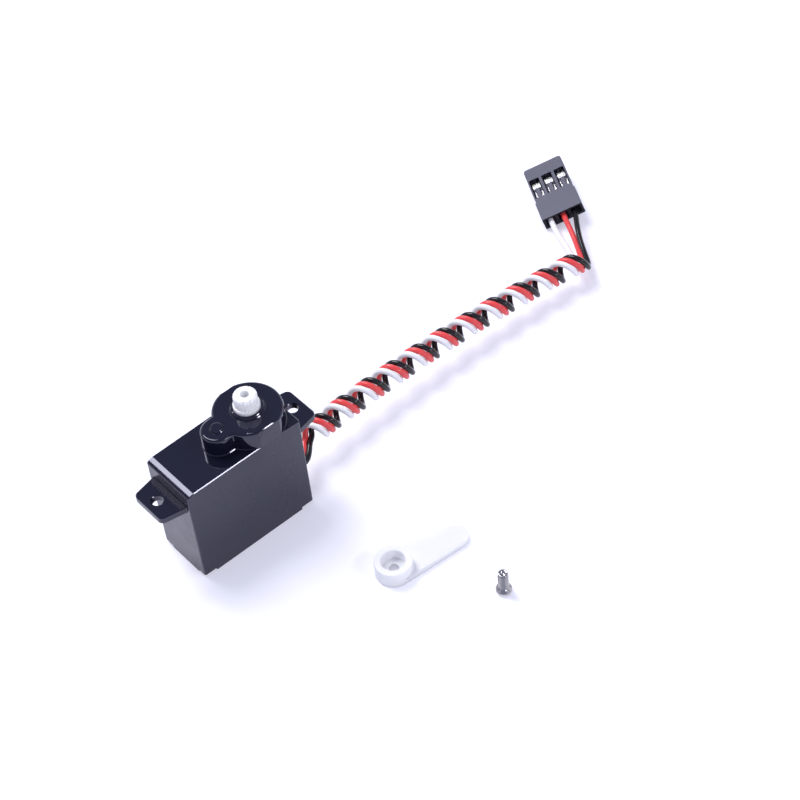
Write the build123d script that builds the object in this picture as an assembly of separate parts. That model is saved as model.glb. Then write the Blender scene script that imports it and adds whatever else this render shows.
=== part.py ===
"""Sub-micro servo: three-piece moulded case with mounting tabs, iron-core motor, four-stage spur gear
train, feedback potentiometer, control board, curled three-wire lead with plug, one-arm horn and its screw.

Lengths are millimetres. The origin is on the output shaft's axis in the plane of the case bottom.
+X points from the motor end to the lead end, +Z points up along the output shaft.
"""
from build123d import *
import math
import os

# Case, outside
CASE_LENGTH = 23.0
CASE_WIDTH = 11.0
CASE_CORNER_RADIUS = 0.35
COVER_HEIGHT = 1.8             # bottom cover, up to the lower parting plane
MIDDLE_HEIGHT = 13.85          # middle case, up to the upper parting plane
TOP_HEIGHT = 4.95              # top housing, up to its flat top
MOTOR_END_SLOPE = 1.45         # the crowned slope along the top edge over the motor end, across
MOTOR_END_DROP = 0.45          # and down
MOTOR_END_ARC = 4.0            # its radius
WALL = 0.8
CHAMBER_WALL = 0.7             # side walls of the top housing, round the gears
CEILING = 0.9
COVER_FLOOR = 1.0
BULKHEAD = 0.8                 # plate that carries the gears, motor and potentiometer
FOOT_STEP = 0.5                # the cover's corners are stepped up by this
FOOT_STEP_LENGTH = 2.4
FOOT_STEP_WIDTH = 2.0
SPIGOT_HEIGHT = 0.5            # lip of the cover that locates the middle case
SPIGOT_WALL = 0.4

# Tower, idler boss and collar
TOWER_RADIUS = 5.9
TOWER_INSET = 0.05             # from the lead end wall to the tower
TOWER_HEIGHT = 3.5
TOWER_CHAMFER = 0.35
IDLER_BOSS_RADIUS = 2.8
IDLER_BOSS_WALL = 0.5
BUTTON_RADIUS = 1.1
BUTTON_HEIGHT = 0.45
BUTTON_CHAMFER = 0.2
COLLAR_RADIUS = 2.85
COLLAR_HEIGHT = 0.55
COLLAR_CHAMFER = 0.3

# Mounting tabs
TAB_THICKNESS = 1.3
TAB_RISE = 0.45                # underside over the upper parting plane
TAB_REACH = 4.5
TAB_WIDTH = 9.0                # at the case
TAB_END_WIDTH = 7.2            # the tabs taper outwards
TAB_CORNER_RADIUS = 1.0
TAB_HOLE_RADIUS = 1.0
TAB_HOLE_REACH = 2.435         # from the case's end wall to the hole's axis

# Case screws
SCREW_INSET = 1.35
SCREW_RADIUS = 0.5
SCREW_BITE = 1.75              # length of the screw in the top housing
SCREW_HEAD_RADIUS = 0.85
SCREW_HEAD_HEIGHT = 0.5
COLUMN_HALF = 1.0              # from the screw's axis to the column's inner faces

# Gear train: every stage has the same module, and stages 2 to 4 share two axes
PRESSURE_ANGLE = math.radians(20)
ADDENDUM = 0.8                 # in modules
DEDENDUM = 1.05                # in modules
BACKLASH = 0.09                # play between the flanks of one mesh, at the pitch circle
WHEEL_TEETH = 36
PINION_TEETH = 14
MOTOR_PINION_TEETH = 9
WHEEL_SIDE_GAP = 0.1           # from a wheel's tips to the chamber's side walls
GEAR_GAP = 0.15                # height between one wheel and the next
FIRST_WHEEL_GAP = 0.3          # from the bulkhead to the lowest wheel
LAST_WHEEL_GAP = 0.75          # from the third wheel to the output wheel
THRUST_GAP = 0.1
RUNNING_CLEARANCE = 0.04
IDLER_PIN_RADIUS = 0.5
OUTPUT_SHOULDER = 0.8          # height of the output wheel's upper shoulder
OUTPUT_RAISE = 0.3             # underside of the output wheel over the chamber's ceiling line

# Output shaft
JOURNAL_RADIUS = 2.25
JOURNAL_OVER_COLLAR = 0.55
SPLINE_RADIUS = 2.0
SPLINE_LENGTH = 2.2
SPLINE_TEETH = 21
SPLINE_DEPTH = 0.18
SPLINE_GROOVE = 0.45           # share of the pitch that a groove takes
SPLINE_CHAMFER = 0.3
HORN_SCREW_HOLE_RADIUS = 0.7
HORN_SCREW_HOLE_DEPTH = 3.0
LOWER_JOURNAL_RADIUS = 1.0
LOWER_BEARING_WALL = 0.4

# Motor
MOTOR_RADIUS = 4.2
MOTOR_CAN_WALL = 0.35
MOTOR_END_GAP = 0.125          # from the can to the motor-end wall
MOTOR_OVER_BOARD = 1.2         # from the board to the brush cap
MOTOR_CAP_HEIGHT = 1.2
MOTOR_BOSS_RADIUS = 1.4
MOTOR_BOSS_HEIGHT = 0.6
MOTOR_SHAFT_RADIUS = 0.5
ARMATURE_END_GAP = 2.0         # from the armature to either end of the can
ARMATURE_SLOTS = 3
ARMATURE_SLOT_WIDTH = 0.9
ARMATURE_HUB_RADIUS = 1.5
COMMUTATOR_RADIUS = 1.0
COMMUTATOR_HEIGHT = 1.2
MAGNET_THICKNESS = 0.55
MAGNET_END_GAP = 1.4           # from the magnets to either end of the can
MAGNET_SPAN = 120              # degrees
AIR_GAP = 0.3
CRADLE_RIB = 1.0

# Potentiometer
POT_RADIUS = 4.0
POT_HEIGHT = 3.3
POT_SHAFT_RADIUS = 0.6
POT_SHAFT_OVERLAP = 2.4        # length of the pot shaft inside the output shaft
POT_PIN_PITCH = 1.6
POT_PIN_WIDTH = 0.5
POT_PIN_THICKNESS = 0.25

# Control board
BOARD_THICKNESS = 1.0
BOARD_TOP_Z = 3.85
BOARD_CLEARANCE = 0.15
CHIP_REACH = 2.55              # from the motor's axis to the chip's outer end, between the terminals
CHIP_LENGTH = 5.0
CHIP_WIDTH = 4.4
CHIP_HEIGHT = 0.9
CAPACITOR_LENGTH = 1.8
CAPACITOR_WIDTH = 3.2
CAPACITOR_HEIGHT = 1.6
CAPACITOR_GAP = 0.525          # from the brush cap
SUPPORT_RIB = 0.8

# Lead
WIRE_DIAMETER = 1.05
WIRE_FACETS = 5
WIRE_EXIT_Z = 4.4
WIRE_EXIT_Y = 0.5              # middle wire
WIRE_EXIT_PITCH = 1.2
WIRE_TAIL = 2.2                # length of each wire inside the end wall
GLAND_HEIGHT = 1.5
GLAND_FLANGE = 0.5
GLAND_WIDTH = 3.8
CURL_RADIUS = 1.5
CURL_PITCH = 5.74
CURL_SPACING = 1.38            # from one wire to the next along the curl's axis
CURL_COUNT = 11
CURL_FIRST_X = 14.0            # where the first wire is level with the axis, on its +Y side
CURL_START_ANGLE = -117        # degrees before that, less for each wire that lies further inside the bend
CURL_FAN_ANGLE = 27
CURL_END_ANGLE = -110          # degrees, in the turn after the last
CURL_AXIS_START = (16.0, 2.18, 6.4)
CURL_AXIS_END = (73.0, 0.77, 4.3)
CURL_AXIS_BOW = 1.23           # sideways, at mid length

# Plug at the end of the lead
PLUG_LENGTH = 14.0
PLUG_WIDTH = 8.0
PLUG_THICKNESS = 2.7
PLUG_PITCH = 2.54
PLUG_EDGE_RADIUS = 0.6
PLUG_CAVITY = 1.9
PLUG_NOSE_HOLE = 1.0
PLUG_NOSE_WALL = 1.0
PLUG_GRIP_LENGTH = 4.8
PLUG_GRIP_STEP = 0.2
PLUG_WINDOW_START = 6.0        # from the wire end
PLUG_WINDOW_LENGTH = 4.9
LATCH_LENGTH = 2.4             # tongue that holds each crimp, from the window's wire end
LATCH_WIDTH = 0.9
LATCH_THICKNESS = 0.5
PLUG_REAR = (82.0, 12.56)
PLUG_HEADING = 62.4            # degrees from +X
PLUG_LEAN = 17.2               # the lead's twist lifts one side by this many degrees
WIRE_INTO_PLUG = 3.2
CRIMP_LENGTH = 9.0
CRIMP_HEIGHT = 1.3
CRIMP_WIDTH = 1.5
CRIMP_SHEET = 0.2

# Horn and its screw, lying beside the case
HORN_HUB_RADIUS = 3.2
HORN_HUB_HEIGHT = 3.2
HORN_ARM_THICKNESS = 1.2
HORN_TIP_RADIUS = 2.2
HORN_LENGTH = 14.05            # hub centre to tip
HORN_SOCKET_DEPTH = 2.0
HORN_SEAT_RADIUS = 1.45
HORN_SEAT_DEPTH = 0.6
HORN_CENTRE = (5.9, -26.4)
HORN_HEADING = -9.5
FIT_CLEARANCE = 0.05
HORN_SCREW_CENTRE = (16.1, -41.7)
HORN_SCREW_HEAD_RADIUS = 1.32
HORN_SCREW_HEAD_HEIGHT = 0.8
HORN_SCREW_HEAD_CHAMFER = 0.2
HORN_SCREW_RADIUS = 0.78
HORN_SCREW_LENGTH = 4.7
HORN_SCREW_CUP = 0.35

# Worked out from the sizes above
HALF_WIDTH = CASE_WIDTH / 2
LEAD_END_X = TOWER_RADIUS + TOWER_INSET
MOTOR_END_X = LEAD_END_X - CASE_LENGTH
CASE_MID_X = (LEAD_END_X + MOTOR_END_X) / 2
PARTING_Z = COVER_HEIGHT + MIDDLE_HEIGHT
CASE_TOP_Z = PARTING_Z + TOP_HEIGHT
TOWER_TOP_Z = CASE_TOP_Z + TOWER_HEIGHT
TAB_BOTTOM_Z = PARTING_Z + TAB_RISE
TAB_TOP_Z = TAB_BOTTOM_Z + TAB_THICKNESS
SCREW_TIP_Z = PARTING_Z + SCREW_BITE
CEILING_Z = CASE_TOP_Z - CEILING
TOWER_CEILING_Z = TOWER_TOP_Z - CEILING
COLLAR_TOP_Z = TOWER_TOP_Z + COLLAR_HEIGHT
JOURNAL_TOP_Z = COLLAR_TOP_Z + JOURNAL_OVER_COLLAR
SHAFT_TOP_Z = JOURNAL_TOP_Z + SPLINE_LENGTH
BULKHEAD_BOTTOM_Z = PARTING_Z - BULKHEAD
SCREW_PLACES = [
    (x, y)
    for x in (MOTOR_END_X + SCREW_INSET, LEAD_END_X - SCREW_INSET)
    for y in (HALF_WIDTH - SCREW_INSET, SCREW_INSET - HALF_WIDTH)
]
SCREW_SEAT_Z = FOOT_STEP + SCREW_HEAD_HEIGHT + FIT_CLEARANCE
WHEEL_MODULES = WHEEL_TEETH / 2 + ADDENDUM
TRAIN_MODULES = (2 * WHEEL_TEETH + PINION_TEETH + MOTOR_PINION_TEETH) / 2
MODULE = min(                  # the largest that both the width and the length of the case take
    (HALF_WIDTH - CHAMBER_WALL - WHEEL_SIDE_GAP) / WHEEL_MODULES,
    (-MOTOR_END_X - WALL - MOTOR_END_GAP - MOTOR_RADIUS) / TRAIN_MODULES,
)
IDLER_X = -MODULE * (WHEEL_TEETH + PINION_TEETH) / 2
MOTOR_X = IDLER_X - MODULE * (WHEEL_TEETH + MOTOR_PINION_TEETH) / 2
WHEEL_TIP_RADIUS = MODULE * WHEEL_MODULES
LEVEL_1_Z = PARTING_Z + FIRST_WHEEL_GAP
LEVEL_4_Z = CEILING_Z + OUTPUT_RAISE
WHEEL_THICKNESS = (LEVEL_4_Z - LAST_WHEEL_GAP - LEVEL_1_Z - 2 * GEAR_GAP) / 3
LEVEL_2_Z = LEVEL_1_Z + WHEEL_THICKNESS + GEAR_GAP
LEVEL_3_Z = LEVEL_2_Z + WHEEL_THICKNESS + GEAR_GAP
GEAR_2_TOP_Z = LEVEL_4_Z - GEAR_GAP
GEAR_3_TOP_Z = TOWER_CEILING_Z - 2 * THRUST_GAP
OUTPUT_SHOULDER_Z = TOWER_CEILING_Z - THRUST_GAP
OUTPUT_WHEEL_TOP_Z = OUTPUT_SHOULDER_Z - OUTPUT_SHOULDER
LOWER_BEARING_TOP_Z = LEVEL_2_Z - THRUST_GAP
POT_BOTTOM_Z = BULKHEAD_BOTTOM_Z - POT_HEIGHT
MOTOR_CAP_BOTTOM_Z = BOARD_TOP_Z + MOTOR_OVER_BOARD
MOTOR_BOTTOM_Z = MOTOR_CAP_BOTTOM_Z + MOTOR_CAP_HEIGHT
MOTOR_HEIGHT = BULKHEAD_BOTTOM_Z - MOTOR_BOTTOM_Z
MAGNET_HEIGHT = MOTOR_HEIGHT - 2 * MAGNET_END_GAP
ARMATURE_HEIGHT = MOTOR_HEIGHT - 2 * ARMATURE_END_GAP
ARMATURE_RADIUS = MOTOR_RADIUS - MOTOR_CAN_WALL - MAGNET_THICKNESS - AIR_GAP
BOARD_BOTTOM_Z = BOARD_TOP_Z - BOARD_THICKNESS
BOARD_MOTOR_END_X = MOTOR_END_X + WALL + BOARD_CLEARANCE


def cylinder(radius, low, high, x=0.0, y=0.0):
    """Upright cylinder between two heights."""
    base = (Align.CENTER, Align.CENTER, Align.MIN)
    return Pos(x, y, low) * Cylinder(radius, high - low, align=base)


def ring(outer, inner, low, high, x=0.0, y=0.0):
    """Upright tube between two heights."""
    return cylinder(outer, low, high, x, y) - cylinder(inner, low, high, x, y)


def block(x_range, y_range, z_range):
    """Box from three ranges."""
    size = [high - low for low, high in (x_range, y_range, z_range)]
    low = [r[0] for r in (x_range, y_range, z_range)]
    return Pos(*low) * Box(*size, align=(Align.MIN, Align.MIN, Align.MIN))


def case_prism(low, high, inset=0.0):
    """The case's rounded outline, drawn in by inset, between two heights."""
    radius = max(CASE_CORNER_RADIUS - inset, 0.15)
    outline = RectangleRounded(CASE_LENGTH - 2 * inset, CASE_WIDTH - 2 * inset, radius)
    return extrude(Pos(CASE_MID_X, 0, low) * outline, high - low)


# ---------------------------------------------------------------- gear teeth


def involute(angle):
    return math.tan(angle) - angle


def gear_outline(teeth, turn=0.0):
    """Closed outline of a spur gear with involute tooth thickness at the tip, pitch and root circles."""
    pitch_radius = MODULE * teeth / 2
    base_radius = pitch_radius * math.cos(PRESSURE_ANGLE)
    tip = pitch_radius + ADDENDUM * MODULE
    root = pitch_radius - DEDENDUM * MODULE
    half_at_pitch = math.pi / (2 * teeth) - BACKLASH / (4 * pitch_radius)

    def half_angle(radius):
        pressure = math.acos(min(1.0, base_radius / radius))
        return half_at_pitch + involute(PRESSURE_ANGLE) - involute(pressure)

    points = []
    for tooth in range(teeth):
        middle = turn + 2 * math.pi * tooth / teeth
        for radius, side in ((root, -1), (tip, -1), (tip, 1), (root, 1)):
            angle = middle + side * half_angle(radius)
            points.append((radius * math.cos(angle), radius * math.sin(angle)))
    return make_face(Polyline(*points, close=True))


def gear_layer(teeth, low, high, x=0.0, turn=0.0):
    """One toothed layer. turn is in tooth pitches."""
    outline = gear_outline(teeth, 2 * math.pi * turn / teeth)
    return extrude(Pos(x, 0, low) * outline, high - low)


def compound_gear(x, bore, level, pinion_top):
    """A wheel with the next stage's pinion over it, and a bore through both."""
    wheel = gear_layer(WHEEL_TEETH, level, level + WHEEL_THICKNESS, x, 0.5)
    pinion = gear_layer(PINION_TEETH, level + WHEEL_THICKNESS, pinion_top, x)
    return wheel + pinion - cylinder(bore, level, pinion_top, x)


def make_gear_1():
    """Idler pin, driven by the motor pinion."""
    top = LEVEL_2_Z + WHEEL_THICKNESS
    return compound_gear(IDLER_X, IDLER_PIN_RADIUS + RUNNING_CLEARANCE, LEVEL_1_Z, top)


def make_gear_2():
    """Runs loose on the output shaft's lower journal."""
    return compound_gear(0, LOWER_JOURNAL_RADIUS + RUNNING_CLEARANCE, LEVEL_2_Z, GEAR_2_TOP_Z)


def make_gear_3():
    """Idler pin, drives the output wheel inside the tower."""
    return compound_gear(IDLER_X, IDLER_PIN_RADIUS + RUNNING_CLEARANCE, LEVEL_3_Z, GEAR_3_TOP_Z)


def make_output_shaft():
    """Output wheel, bearing journals and splined end in one moulding."""
    wheel = gear_layer(WHEEL_TEETH, LEVEL_4_Z, OUTPUT_WHEEL_TOP_Z, 0, 0.5)
    shoulder = cylinder(COLLAR_RADIUS, OUTPUT_WHEEL_TOP_Z, OUTPUT_SHOULDER_Z)
    journal = cylinder(JOURNAL_RADIUS, OUTPUT_SHOULDER_Z, JOURNAL_TOP_Z)
    lower = cylinder(LOWER_JOURNAL_RADIUS, PARTING_Z + THRUST_GAP, LEVEL_4_Z)
    shaft = wheel + shoulder + journal + splined_end() + lower
    top_hole = cylinder(HORN_SCREW_HOLE_RADIUS, SHAFT_TOP_Z - HORN_SCREW_HOLE_DEPTH, SHAFT_TOP_Z)
    pot_bore = cylinder(POT_SHAFT_RADIUS, PARTING_Z, PARTING_Z + THRUST_GAP + POT_SHAFT_OVERLAP)
    return shaft - top_hole - pot_bore


def splined_end():
    """Shaft end with V grooves all the way round and a chamfered top edge."""
    tip, root = SPLINE_RADIUS, SPLINE_RADIUS - SPLINE_DEPTH
    half = math.pi * SPLINE_GROOVE / SPLINE_TEETH
    outline = Curve() + [
        line
        for tooth in range(SPLINE_TEETH)
        for line in spline_tooth(2 * math.pi * tooth / SPLINE_TEETH, tip, root, half)
    ]
    end = extrude(Pos(0, 0, JOURNAL_TOP_Z) * make_face(outline.edges()), SPLINE_LENGTH)
    cone = chamfer(cylinder(tip, JOURNAL_TOP_Z, SHAFT_TOP_Z).edges().group_by(Axis.Z)[-1], SPLINE_CHAMFER)
    return end & cone


def spline_tooth(angle, tip, root, half):
    """Both flanks of one groove and the land that follows it."""
    start, middle, end = (
        Vector(radius, 0).rotate(Axis.Z, math.degrees(angle + turn))
        for radius, turn in ((tip, -half), (root, 0), (tip, half))
    )
    pitch = 2 * math.pi / SPLINE_TEETH
    land_middle = Vector(tip, 0).rotate(Axis.Z, math.degrees(angle + pitch / 2))
    land_end = start.rotate(Axis.Z, math.degrees(pitch))
    return [Line(start, middle), Line(middle, end), ThreePointArc(end, land_middle, land_end)]


def make_idler_pin():
    top = TOWER_TOP_Z - CEILING / 3
    return cylinder(IDLER_PIN_RADIUS, BULKHEAD_BOTTOM_Z, top, IDLER_X)


# ---------------------------------------------------------------- case


def column(low, high, x, y):
    """Square screw column in a corner, run into both walls."""
    side_x = LEAD_END_X - WALL / 2 if x > CASE_MID_X else MOTOR_END_X + WALL / 2
    side_y = math.copysign(HALF_WIDTH - CHAMBER_WALL / 2, y)
    inner_x = x - math.copysign(COLUMN_HALF, x - CASE_MID_X)
    inner_y = y - math.copysign(COLUMN_HALF, y)
    return block(sorted((inner_x, side_x)), sorted((inner_y, side_y)), (low, high))


def make_bottom_cover():
    cover = case_prism(0, COVER_HEIGHT) - case_prism(COVER_FLOOR, COVER_HEIGHT, WALL)
    for x, y in SCREW_PLACES:
        outer_x = LEAD_END_X if x > CASE_MID_X else MOTOR_END_X
        inner_x = outer_x - math.copysign(FOOT_STEP_LENGTH, x - CASE_MID_X)
        outer_y = math.copysign(HALF_WIDTH, y)
        inner_y = outer_y - math.copysign(FOOT_STEP_WIDTH, y)
        step = block(sorted((outer_x, inner_x)), sorted((outer_y, inner_y)), (0, FOOT_STEP))
        cover = cover - step + column(FOOT_STEP, COVER_HEIGHT, x, y)
    lip = case_prism(COVER_FLOOR, COVER_HEIGHT + SPIGOT_HEIGHT, WALL + FIT_CLEARANCE)
    lip -= case_prism(COVER_FLOOR, COVER_HEIGHT + SPIGOT_HEIGHT, WALL + FIT_CLEARANCE + SPIGOT_WALL)
    for x, y in SCREW_PLACES:
        clear = COLUMN_HALF + WALL
        lip -= block((x - clear, x + clear), (y - clear, y + clear), (COVER_FLOOR, LEVEL_1_Z))
    cover += lip
    rib_half = HALF_WIDTH - WALL - SPIGOT_WALL
    for x in (MOTOR_X, IDLER_X / 2):
        rib_x = (x - SUPPORT_RIB / 2, x + SUPPORT_RIB / 2)
        cover += block(rib_x, (-rib_half, rib_half), (COVER_FLOOR, BOARD_BOTTOM_Z))
    for x, y in SCREW_PLACES:
        cover -= cylinder(SCREW_HEAD_RADIUS + FIT_CLEARANCE, 0, SCREW_SEAT_Z, x, y)
        cover -= cylinder(SCREW_RADIUS + FIT_CLEARANCE, 0, COVER_HEIGHT, x, y)
    return cover


def make_middle_case():
    shell = case_prism(COVER_HEIGHT, PARTING_Z) - case_prism(COVER_HEIGHT, BULKHEAD_BOTTOM_Z, WALL)
    for x, y in SCREW_PLACES:
        shell += column(COVER_HEIGHT, BULKHEAD_BOTTOM_Z, x, y)
    rib_x = (MOTOR_X - CRADLE_RIB / 2, MOTOR_X + CRADLE_RIB / 2)
    rib_y = MOTOR_RADIUS + FIT_CLEARANCE
    for side in (-1, 1):
        y_range = sorted((side * rib_y, side * (HALF_WIDTH - WALL)))
        shell += block(rib_x, y_range, (MOTOR_BOTTOM_Z, BULKHEAD_BOTTOM_Z))
    shell += ring_seats()
    shell -= cylinder(MOTOR_BOSS_RADIUS + FIT_CLEARANCE, BULKHEAD_BOTTOM_Z, PARTING_Z, MOTOR_X)
    shell -= cylinder(LOWER_JOURNAL_RADIUS + RUNNING_CLEARANCE, BULKHEAD_BOTTOM_Z, LOWER_BEARING_TOP_Z)
    shell -= cylinder(IDLER_PIN_RADIUS, BULKHEAD_BOTTOM_Z, LEVEL_1_Z, IDLER_X)
    shell -= gland_hole()
    for x, y in SCREW_PLACES:
        shell -= cylinder(SCREW_RADIUS + FIT_CLEARANCE, COVER_HEIGHT, PARTING_Z, x, y)
    return shell


def ring_seats():
    """Bosses on the bulkhead that carry the lowest gears."""
    lower_bearing = cylinder(
        LOWER_JOURNAL_RADIUS + RUNNING_CLEARANCE + LOWER_BEARING_WALL, PARTING_Z, LOWER_BEARING_TOP_Z
    )
    pin_seat = cylinder(2 * IDLER_PIN_RADIUS, PARTING_Z, LEVEL_1_Z - THRUST_GAP, IDLER_X)
    return lower_bearing + pin_seat


def gland_hole():
    """Slot through the lead-end wall."""
    half = GLAND_WIDTH / 2
    low = WIRE_EXIT_Z - GLAND_HEIGHT / 2
    y_range = (WIRE_EXIT_Y - half, WIRE_EXIT_Y + half)
    return block((LEAD_END_X - WALL, LEAD_END_X), y_range, (low, low + GLAND_HEIGHT))


def top_outline():
    """Top housing from the side: a box with a crowned slope along the motor end's top edge."""
    corner = (MOTOR_END_X, PARTING_Z)
    path = Polyline(
        (MOTOR_END_X, CASE_TOP_Z - MOTOR_END_DROP),
        corner,
        (LEAD_END_X, PARTING_Z),
        (LEAD_END_X, CASE_TOP_Z),
        (MOTOR_END_X + MOTOR_END_SLOPE, CASE_TOP_Z),
    )
    slope = RadiusArc(path @ 1, path @ 0, -MOTOR_END_ARC)
    return make_face([path, slope])


def make_top_housing():
    side = Plane.XZ * top_outline()
    body = extrude(side, CASE_WIDTH / 2, both=True) & case_prism(PARTING_Z, CASE_TOP_Z)
    body = body + tower_outside() + mounting_tabs()
    body -= gear_chamber()
    for x, y in SCREW_PLACES:
        body += column(PARTING_Z, SCREW_TIP_Z + WALL, x, y)
        body -= cylinder(SCREW_RADIUS, PARTING_Z, SCREW_TIP_Z + THRUST_GAP, x, y)
    body += chamfered_post(COLLAR_RADIUS, TOWER_TOP_Z, COLLAR_TOP_Z, 0, COLLAR_CHAMFER)
    body -= cylinder(JOURNAL_RADIUS + RUNNING_CLEARANCE, TOWER_CEILING_Z, COLLAR_TOP_Z)
    body += chamfered_post(BUTTON_RADIUS, TOWER_TOP_Z, TOWER_TOP_Z + BUTTON_HEIGHT, IDLER_X, BUTTON_CHAMFER)
    body -= cylinder(IDLER_PIN_RADIUS, TOWER_CEILING_Z, TOWER_TOP_Z - CEILING / 3, IDLER_X)
    return body


def chamfered_post(radius, low, high, x=0.0, width=TOWER_CHAMFER):
    """Upright cylinder with a chamfered top edge."""
    post = cylinder(radius, low, high, x)
    return chamfer(post.edges().group_by(Axis.Z)[-1], width)


def tower_outside():
    """Round tower cut flush with the case's sides, joined to the idler boss by a straight neck."""
    low, high = PARTING_Z + WALL, TOWER_TOP_Z
    slab = block((-TOWER_RADIUS, TOWER_RADIUS), (-HALF_WIDTH, HALF_WIDTH), (low, high))
    tower = chamfered_post(TOWER_RADIUS, low, high) & slab
    boss = chamfered_post(IDLER_BOSS_RADIUS, low, high, IDLER_X)
    side, step = IDLER_BOSS_RADIUS, TOWER_CHAMFER
    profile = Polyline(
        (-side, low), (side, low), (side, high - step), (side - step, high),
        (step - side, high), (-side, high - step), close=True
    )
    section = Plane(origin=(IDLER_X, 0, 0), x_dir=(0, 1, 0), z_dir=(1, 0, 0)) * make_face(profile)
    return tower + boss + extrude(section, -IDLER_X)


def gear_chamber():
    """Hollow for the gears: the chamber, the tower's round hollow and the idler boss's."""
    side = HALF_WIDTH - CHAMBER_WALL
    x_range = (MOTOR_END_X + WALL, LEAD_END_X - CHAMBER_WALL)
    chamber = block(x_range, (-side, side), (PARTING_Z, CEILING_Z))
    wheel_room = WHEEL_TIP_RADIUS + FIT_CLEARANCE + THRUST_GAP
    slab = block((-TOWER_RADIUS, TOWER_RADIUS), (-side, side), (PARTING_Z, TOWER_CEILING_Z))
    tower = cylinder(wheel_room, PARTING_Z, TOWER_CEILING_Z) & slab
    inner = IDLER_BOSS_RADIUS - IDLER_BOSS_WALL
    boss = cylinder(inner, CEILING_Z, TOWER_CEILING_Z, IDLER_X)
    neck = block((IDLER_X, 0), (-inner, inner), (CEILING_Z, TOWER_CEILING_Z))
    return chamber + tower + boss + neck


def mounting_tabs():
    """Tapered tabs at both ends, each with a screw hole."""
    root_x, end_x = CASE_LENGTH / 2, CASE_LENGTH / 2 + TAB_REACH
    root_y, end_y = TAB_WIDTH / 2, TAB_END_WIDTH / 2
    outline = make_face(Polyline(
        (-end_x, -end_y), (-root_x, -root_y), (root_x, -root_y), (end_x, -end_y),
        (end_x, end_y), (root_x, root_y), (-root_x, root_y), (-end_x, end_y), close=True
    ))
    ends = outline.vertices().group_by(Axis.X)
    outline = fillet(ends[0] + ends[-1], TAB_CORNER_RADIUS)
    plate = extrude(Pos(CASE_MID_X, 0, TAB_BOTTOM_Z) * outline, TAB_THICKNESS)
    for x in (MOTOR_END_X - TAB_HOLE_REACH, LEAD_END_X + TAB_HOLE_REACH):
        plate -= cylinder(TAB_HOLE_RADIUS, TAB_BOTTOM_Z, TAB_TOP_Z, x)
    return plate


def make_case_screw(x, y):
    head = cylinder(SCREW_HEAD_RADIUS, SCREW_SEAT_Z - SCREW_HEAD_HEIGHT, SCREW_SEAT_Z, x, y)
    return head + cylinder(SCREW_RADIUS, SCREW_SEAT_Z, SCREW_TIP_Z, x, y)


# ---------------------------------------------------------------- motor


def make_motor_can():
    can = cylinder(MOTOR_RADIUS, MOTOR_BOTTOM_Z, BULKHEAD_BOTTOM_Z, MOTOR_X)
    inner_top = BULKHEAD_BOTTOM_Z - MOTOR_CAN_WALL
    can -= cylinder(MOTOR_RADIUS - MOTOR_CAN_WALL, MOTOR_BOTTOM_Z, inner_top, MOTOR_X)
    boss_top = BULKHEAD_BOTTOM_Z + MOTOR_BOSS_HEIGHT
    can += cylinder(MOTOR_BOSS_RADIUS, inner_top, boss_top, MOTOR_X)
    return can - cylinder(MOTOR_SHAFT_RADIUS + RUNNING_CLEARANCE, inner_top, boss_top, MOTOR_X)


def make_motor_cap():
    """Brush cap with the lower bearing."""
    cap = cylinder(MOTOR_RADIUS, MOTOR_CAP_BOTTOM_Z, MOTOR_BOTTOM_Z, MOTOR_X)
    bearing_z = MOTOR_CAP_BOTTOM_Z + MOTOR_CAN_WALL
    return cap - cylinder(MOTOR_SHAFT_RADIUS + RUNNING_CLEARANCE, bearing_z, MOTOR_BOTTOM_Z, MOTOR_X)


def make_motor_terminals():
    """Two flat strips from the brush cap down to the board."""
    reach = MOTOR_RADIUS - MOTOR_CAN_WALL
    strips = [
        block(
            sorted((MOTOR_X + side * (reach - POT_PIN_THICKNESS), MOTOR_X + side * reach)),
            (-POT_PIN_WIDTH, POT_PIN_WIDTH),
            (BOARD_TOP_Z, MOTOR_CAP_BOTTOM_Z),
        )
        for side in (-1, 1)
    ]
    return Compound(strips)


def magnet_arc(side):
    outer = MOTOR_RADIUS - MOTOR_CAN_WALL
    low = (MOTOR_BOTTOM_Z + BULKHEAD_BOTTOM_Z - MAGNET_HEIGHT) / 2
    tube = ring(outer, outer - MAGNET_THICKNESS, low, low + MAGNET_HEIGHT)
    half = math.radians(MAGNET_SPAN / 2)
    tip = 2 * outer
    wedge = make_face(
        Polyline((0, 0), (tip * math.cos(half), -tip * math.sin(half)),
                 (tip * math.cos(half), tip * math.sin(half)), close=True)
    )
    sector = extrude(Pos(0, 0, low) * wedge, MAGNET_HEIGHT)
    return Pos(MOTOR_X, 0, 0) * (Rot(0, 0, 90 * side) * (tube & sector))


def make_magnets():
    return Compound([magnet_arc(side) for side in (-1, 1)])


def make_rotor():
    """Slotted armature and commutator on the motor shaft."""
    mid = (MOTOR_BOTTOM_Z + BULKHEAD_BOTTOM_Z) / 2
    low, high = mid - ARMATURE_HEIGHT / 2, mid + ARMATURE_HEIGHT / 2
    armature = cylinder(ARMATURE_RADIUS, low, high, MOTOR_X)
    half = ARMATURE_SLOT_WIDTH / 2
    slot = block((ARMATURE_HUB_RADIUS, 2 * ARMATURE_RADIUS), (-half, half), (low, high))
    for index in range(ARMATURE_SLOTS):
        armature -= Pos(MOTOR_X, 0, 0) * (Rot(0, 0, 360 * index / ARMATURE_SLOTS) * slot)
    commutator = cylinder(COMMUTATOR_RADIUS, low - COMMUTATOR_HEIGHT, low, MOTOR_X)
    shaft_low = MOTOR_CAP_BOTTOM_Z + MOTOR_CAN_WALL + THRUST_GAP
    shaft_top = LEVEL_1_Z + WHEEL_THICKNESS + THRUST_GAP
    shaft = cylinder(MOTOR_SHAFT_RADIUS, shaft_low, shaft_top, MOTOR_X)
    return armature + commutator + shaft


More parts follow.
